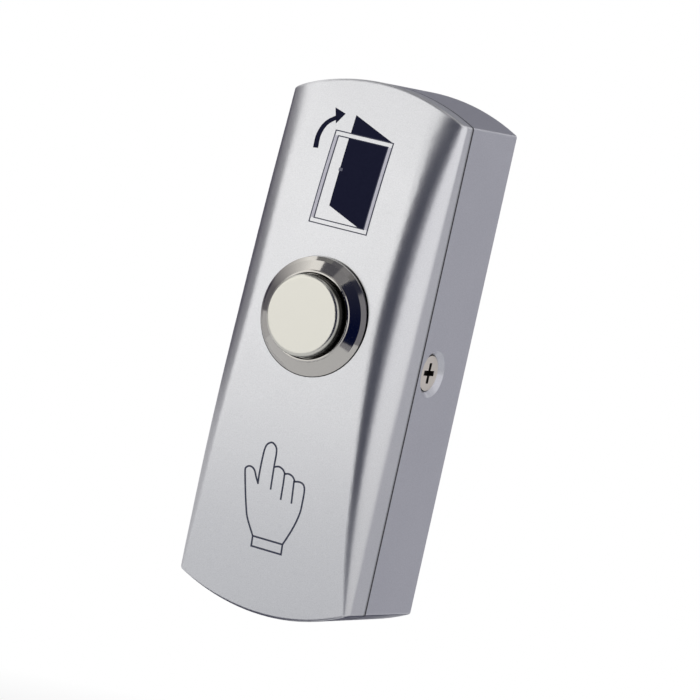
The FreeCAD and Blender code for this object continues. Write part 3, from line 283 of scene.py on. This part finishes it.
# Printed signs on the cover's face. Outlines are in millimetres: X to the right, Z up. A
# rectangle is half its width, its lower edge and its upper edge
HAND_LINE = 0.27
FRAME_OUTER = (5.05, 18.72, 32.98)
FRAME_INNER = (4.38, 19.45, 32.24)
FRAME_LINE = 0.15
LEAF_ABOVE = [(-2.5, 35.85), (4.9, 33.02), (-2.45, 33.02)]
LEAF_BELOW = [(-2.5, 32.2), (4.3, 32.2), (4.3, 19.5), (3.35, 19.5), (-2.4, 21.72)]
HANDLE = [(-2.6, 27.62), (-1.95, 27.62), (-1.95, 27.15), (-2.6, 27.15)]
ARROW_STEM = [(-7.62, 30.1), (-7.75, 31.5), (-7.45, 32.9), (-6.85, 33.9), (-5.9, 34.67)]
ARROW_FOOT, ARROW_NECK = 0.85, 0.65
ARROW_HEAD = [(-6.37, 36.27), (-4.38, 35.7), (-5.46, 33.95)]
INDEX = [(-3.55, -21.75), (-3.6, -20.1), (-3.54, -17.6), (-3.44, -16.4), (-3.15, -15.6),
         (-2.4, -15.15), (-1.62, -15.6), (-1.33, -16.5), (-1.3, -18.6), (-1.2, -22.05)]
THUMB = [(-3.55, -21.75), (-4.05, -20.9), (-4.5, -20.0), (-5.05, -19.6), (-5.65, -19.6),
         (-6.12, -20.0), (-6.12, -20.5), (-5.86, -21.7), (-5.55, -23.1), (-4.93, -25.6),
         (-4.35, -27.4), (-2.95, -29.85)]
CUFF = [(-2.95, -29.85), (2.4, -29.85), (2.4, -31.42), (-2.95, -31.42), (-2.95, -29.85)]
WRIST = [(2.4, -29.85), (3.65, -27.15), (4.45, -24.6), (4.6, -22.6), (4.58, -20.9),
         (4.25, -20.1), (3.55, -19.85), (2.7, -19.98)]
KNUCKLES = [
    [(-1.25, -18.68), (-0.46, -18.44), (0.28, -18.69), (0.8, -19.27)],
    [(0.8, -19.27), (1.46, -19.1), (2.2, -19.36), (2.7, -20.0)],
    [(0.72, -19.3), (0.79, -20.9), (0.82, -23.15)],
    [(2.55, -20.0), (2.65, -21.6), (2.75, -23.25)],
]
CURVE_STEPS = 8
MITRE_LIMIT = 0.35
SAME_PLACE = 1e-6
INK_LIFT = 0.012
INK_THICK = 0.02
STRIP = 0.5
IN_FRONT = -0.1


def face_y(x, z):
    """Where the cover's face lies at a place, in metres."""
    inward = Vector((0, 1, 0))
    return nodes["front_cover"].ray_cast(Vector((x, IN_FRONT, z)), inward)[1].y


def smooth_line(points):
    """A curve through the points, as short straight steps."""
    padded = [points[0], *points, points[-1]]
    line = []
    for index in range(len(points) - 1):
        a, b, c, d = (Vector(point) for point in padded[index:index + 4])
        for step in range(CURVE_STEPS):
            t = step / CURVE_STEPS
            line.append(0.5 * (2 * b + (c - a) * t + (2 * a - 5 * b + 4 * c - d) * t ** 2
                               + (3 * b - a - 3 * c + d) * t ** 3))
    line.append(Vector(points[-1]))
    return line


def ribbon(line, width, last_width=None):
    """Quads along a line, with mitred turns and square ends. The width may change evenly."""
    line = [Vector(point) for point in line]
    closed = (line[0] - line[-1]).length < SAME_PLACE
    edges = []
    count = len(line)
    first_width, last_width = width, last_width or width
    for index, point in enumerate(line):
        width = first_width + (last_width - first_width) * index / (count - 1)
        before = line[index] - line[index - 1] if index else None
        after = line[index + 1] - line[index] if index < count - 1 else None
        if closed and before is None:
            before = line[-1] - line[-2]
        if closed and after is None:
            after = line[1] - line[0]
        before = (before or after).normalized()
        after = (after or before).normalized()
        along = (before + after).normalized()
        across = Vector((-along.y, along.x))
        reach = width / 2 / max(MITRE_LIMIT, along.dot(after))
        ends = Vector((0, 0))
        if not closed and index in (0, count - 1):
            ends = along * (width / 2) * (-1 if index == 0 else 1)
        edges.append((point + across * reach + ends, point - across * reach + ends))
    return [(a[0], a[1], b[1], b[0]) for a, b in zip(edges, edges[1:])]


def rectangle_lines(half, low, high):
    """The four lines of a rectangle."""
    corners = [(-half, low), (half, low), (half, high), (-half, high), (-half, low)]
    return ribbon(corners, FRAME_LINE)


def ink(name, shapes, material, layer=0):
    """Closed shapes printed on the face as one thin film, cut in strips to follow its arch. A
    higher layer lies over a lower one."""
    mesh = bmesh.new()
    for shape in shapes:
        corners = [mesh.verts.new((x * MM, 0, z * MM)) for x, z in shape]
        mesh.faces.new(corners)
    bmesh.ops.triangulate(mesh, faces=mesh.faces[:])
    heights = [vertex.co.z / MM for vertex in mesh.verts]
    cut = math.floor(min(heights)) + STRIP
    while cut < max(heights):
        bmesh.ops.bisect_plane(mesh, geom=mesh.verts[:] + mesh.edges[:] + mesh.faces[:],
                               plane_co=(0, 0, cut * MM), plane_no=(0, 0, 1))
        cut += STRIP
    bmesh.ops.triangulate(mesh, faces=mesh.faces[:])
    lift = (INK_LIFT + layer * INK_THICK) * MM
    for vertex in mesh.verts:
        vertex.co.y = face_y(vertex.co.x, vertex.co.z) - lift
    bmesh.ops.recalc_face_normals(mesh, faces=mesh.faces[:])
    for face in mesh.faces:
        if face.normal.y > 0:
            face.normal_flip()
    data = bpy.data.meshes.new(name)
    mesh.to_mesh(data)
    mesh.free()
    piece = bpy.data.objects.new(name, data)
    bpy.context.collection.objects.link(piece)
    data.materials.append(material)
    film = piece.modifiers.new("film", "SOLIDIFY")
    film.thickness = INK_THICK * MM
    film.offset = 1
    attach(piece, "case")


def print_signs():
    """Door with an arrow above the button, pointing hand below it."""
    outer = FRAME_OUTER[0]
    inner, sill, head = FRAME_INNER
    ink("sign_frame_jambs", [
        [(-outer, sill), (-inner, sill), (-inner, head), (-outer, head)],
        [(inner, sill), (outer, sill), (outer, head), (inner, head)],
    ], pale_ink)
    lines = rectangle_lines(*FRAME_OUTER) + rectangle_lines(*FRAME_INNER)
    ink("sign_frame_lines", lines, line_ink, layer=1)
    ink("sign_door_leaf", [LEAF_ABOVE, LEAF_BELOW], navy_ink, layer=1)
    ink("sign_door_handle", [HANDLE], grey_ink, layer=2)
    stem = ribbon(smooth_line(ARROW_STEM), ARROW_FOOT, ARROW_NECK)
    ink("sign_arrow", [*stem, ARROW_HEAD], navy_ink)
    strokes = []
    for line in [INDEX, THUMB, WRIST, *KNUCKLES]:
        strokes += ribbon(smooth_line(line), HAND_LINE)
    strokes += ribbon(CUFF, HAND_LINE)
    ink("sign_hand", strokes, line_ink)


# Studio: the camera, a pale floor, white surroundings, a soft lamp, and grey and dark cards
# that show only in the metal. Lengths are in metres, angles in degrees
TARGET = Vector((0, -17, 0)) * MM
CAMERA_DISTANCE = 628.8 * MM
CAMERA_TURN = 28.03
CAMERA_RISE = 4.42
CAMERA_ROLL = 12.52
CAMERA_SHIFT = Vector((3.57, 0.02)) * MM
SENSOR = 36
LENS = 212.6
CLIP = (0.01, 20)
FLOOR_LEVEL = -0.125
FLOOR_RADIUS = 6.0
FLOOR_SIDES = 64
FLOOR_COLOUR = (0.74, 0.74, 0.74, 1)
WHITE_FOR_CAMERA = (0.12, 0.38)
WHITE_FOR_METAL = 0.30
EVEN_LIGHT = (0.67, 0.68, 0.71, 1)
WHITE = (1, 1, 1, 1)
LAMP_PLACE = Vector((-1.08, -0.57, 1.45))
LAMP_SIZE = 1.0
LAMP_POWER = 5.0
SCREEN_STEPS = 24
NO_FADE = (0.0, 9.0)
# Each card's sides, distance, heights, colour, and the heights between which it fades to white.
# Sides are angles from the front, more to the right
SCREENS = {
    "front": ((-8, 38), 0.22, (-0.09, 0.17), (0.002, 0.004, 0.026), NO_FADE),
    "front_high": ((9, 38), 0.22, (0.17, 0.29), (0.002, 0.004, 0.026), NO_FADE),
    "front_low": ((-8, 38), 0.22, (-0.12, -0.09), (0.24, 0.24, 0.27), NO_FADE),
    "front_right": ((38, 50), 0.22, (-0.09, 0.29), (0.22, 0.22, 0.25), NO_FADE),
    "low_right": ((50, 132), 0.30, (FLOOR_LEVEL, 0.0), (0.45, 0.45, 0.47), (-0.10, 0.02)),
    "high_right": ((50, 132), 0.30, (0.0, 0.35), (0.80, 0.80, 0.83), NO_FADE),
    "right": ((132, 160), 0.30, (FLOOR_LEVEL, 0.30), (0.34, 0.34, 0.38), NO_FADE),
    "low_left": ((-150, -50), 0.30, (FLOOR_LEVEL, -0.035), (0.48, 0.48, 0.50), NO_FADE),
    "left": ((-100, -58), 0.9, (FLOOR_LEVEL, 0.85), (0.14, 0.135, 0.155), (0.12, 0.85)),
    "far_left": ((-140, -100), 0.9, (FLOOR_LEVEL, 0.85), (0.05, 0.045, 0.07), (0.10, 0.85)),
    "behind": ((-188, -140), 0.95, (FLOOR_LEVEL, 1.40), (0.18, 0.18, 0.215), NO_FADE),
    "boom": ((-42, -12), 0.35, (0.22, 0.39), (0.42, 0.42, 0.44), NO_FADE),
    "top_front": ((-12, 14), 0.35, (0.33, 3.00), (0.20, 0.20, 0.22), NO_FADE),
    "top_left": ((-42, -12), 0.35, (0.39, 3.00), (0.05, 0.05, 0.07), NO_FADE),
    "above": ((14, 318), 0.35, (0.43, 3.00), (0.15, 0.15, 0.16), NO_FADE),
    "below": ((-180, 180), 0.03, (FLOOR_LEVEL, -0.052), (0.03, 0.03, 0.06), NO_FADE),
}


def make_camera():
    """The photograph's view."""
    turn, rise, roll = (math.radians(part) for part in (CAMERA_TURN, CAMERA_RISE, CAMERA_ROLL))
    back = Vector((math.sin(turn) * math.cos(rise), -math.cos(turn) * math.cos(rise),
                   math.sin(rise)))
    level = Vector((math.cos(turn), math.sin(turn), 0))
    upright = back.cross(level)
    right = level * math.cos(roll) + upright * math.sin(roll)
    up = upright * math.cos(roll) - level * math.sin(roll)
    data = bpy.data.cameras.new("camera")
    data.sensor_width = SENSOR
    data.lens = LENS
    data.clip_start, data.clip_end = CLIP
    camera = bpy.data.objects.new("camera", data)
    bpy.context.collection.objects.link(camera)
    place = TARGET + back * CAMERA_DISTANCE + right * CAMERA_SHIFT.x + up * CAMERA_SHIFT.y
    turned = Matrix((right, up, back)).transposed().to_4x4()
    camera.matrix_world = Matrix.Translation(place) @ turned
    bpy.context.scene.camera = camera


def make_floor():
    """A wide pale floor below the object: white far off, with the shadow near the object. In
    the metal it turns darker toward the object."""
    mesh = bmesh.new()
    bmesh.ops.create_circle(mesh, cap_ends=True, segments=FLOOR_SIDES, radius=FLOOR_RADIUS)
    data = bpy.data.meshes.new("floor")
    mesh.to_mesh(data)
    mesh.free()
    floor = bpy.data.objects.new("floor", data)
    floor.location.z = FLOOR_LEVEL
    bpy.context.collection.objects.link(floor)
    shader = Shader("floor")
    shader.set(Base_Color=FLOOR_COLOUR, Roughness=0.9, Specular_IOR_Level=0.0)
    spot = shader.node("TexCoord")
    length = shader.node("VectorMath", operation="LENGTH")
    shader.join(spot.outputs["Object"], length.inputs[0])
    away = length.outputs["Value"]
    path = shader.node("LightPath").outputs
    for_camera = shader.math("MULTIPLY", shader.ramp(away, 0, 1, *WHITE_FOR_CAMERA),
                             path["Is Camera Ray"])
    nearness = shader.math("DIVIDE", WHITE_FOR_METAL, away)
    for_metal = shader.math("MULTIPLY", shader.ramp(nearness, 1, 0), path["Is Glossy Ray"])
    white = shader.node("Emission").outputs["Emission"]
    shown = shader.mix(shader.math("ADD", for_camera, for_metal),
                       shader.surface.outputs["BSDF"], white)
    shader.join(shown, shader.tree.nodes["Material Output"].inputs["Surface"])
    data.materials.append(shader.material)


def make_surroundings():
    """White all round for the camera and in the metal, and soft even light for the rest."""
    world = bpy.data.worlds.new("studio")
    bpy.context.scene.world = world
    world.use_nodes = True
    world.node_tree.nodes.clear()
    studio = Nodes(world.node_tree)
    shades = []
    for colour in (EVEN_LIGHT, WHITE):
        shade = studio.node("Background")
        shade.inputs["Color"].default_value = colour
        shades.append(shade.outputs["Background"])
    path = studio.node("LightPath").outputs
    mirrored = studio.math("ADD", path["Is Glossy Ray"], path["Is Transmission Ray"])
    sees_white = studio.math("ADD", path["Is Camera Ray"], mirrored)
    output = studio.node("OutputWorld")
    studio.join(studio.mix(sees_white, *shades), output.inputs["Surface"])


def make_screen(name, sides, distance, heights, colour, fade):
    """A curved card round the object that shows only in the metal."""
    mesh = bmesh.new()
    columns = []
    for step in range(SCREEN_STEPS + 1):
        side = math.radians(sides[0] + (sides[1] - sides[0]) * step / SCREEN_STEPS)
        spot = (distance * math.sin(side), -distance * math.cos(side))
        columns.append([mesh.verts.new((*spot, height)) for height in heights])
    for left, right in zip(columns, columns[1:]):
        mesh.faces.new((left[0], right[0], right[1], left[1]))
    data = bpy.data.meshes.new(name)
    mesh.to_mesh(data)
    mesh.free()
    card = bpy.data.objects.new(name, data)
    bpy.context.collection.objects.link(card)
    card.visible_camera = False
    card.visible_diffuse = False
    card.visible_shadow = False
    shader = Shader(name)
    glow = shader.node("Emission")
    parts = shader.node("SeparateXYZ")
    shader.join(shader.node("TexCoord").outputs["Object"], parts.inputs["Vector"])
    shader.join(shader.blend(shader.ramp(parts.outputs["Z"], 0, 1, *fade), colour, WHITE[:3]),
                glow.inputs["Color"])
    shader.join(glow.outputs["Emission"], shader.tree.nodes["Material Output"].inputs["Surface"])
    data.materials.append(shader.material)


def make_lamp():
    """A soft square lamp, high on the left, that points at the object."""
    data = bpy.data.lights.new("lamp_left", "AREA")
    data.size = LAMP_SIZE
    data.energy = LAMP_POWER
    lamp = bpy.data.objects.new("lamp_left", data)
    lamp.location = LAMP_PLACE
    lamp.rotation_euler = (TARGET - LAMP_PLACE).to_track_quat("-Z", "Y").to_euler()
    lamp.visible_camera = False
    lamp.visible_glossy = False
    bpy.context.collection.objects.link(lamp)


dress_nodes()
shorten_spring()
print_signs()
make_camera()
make_floor()
make_surroundings()
for name, settings in SCREENS.items():
    make_screen("screen_" + name, *settings)
make_lamp()

bpy.context.scene.view_settings.view_transform = "Standard"
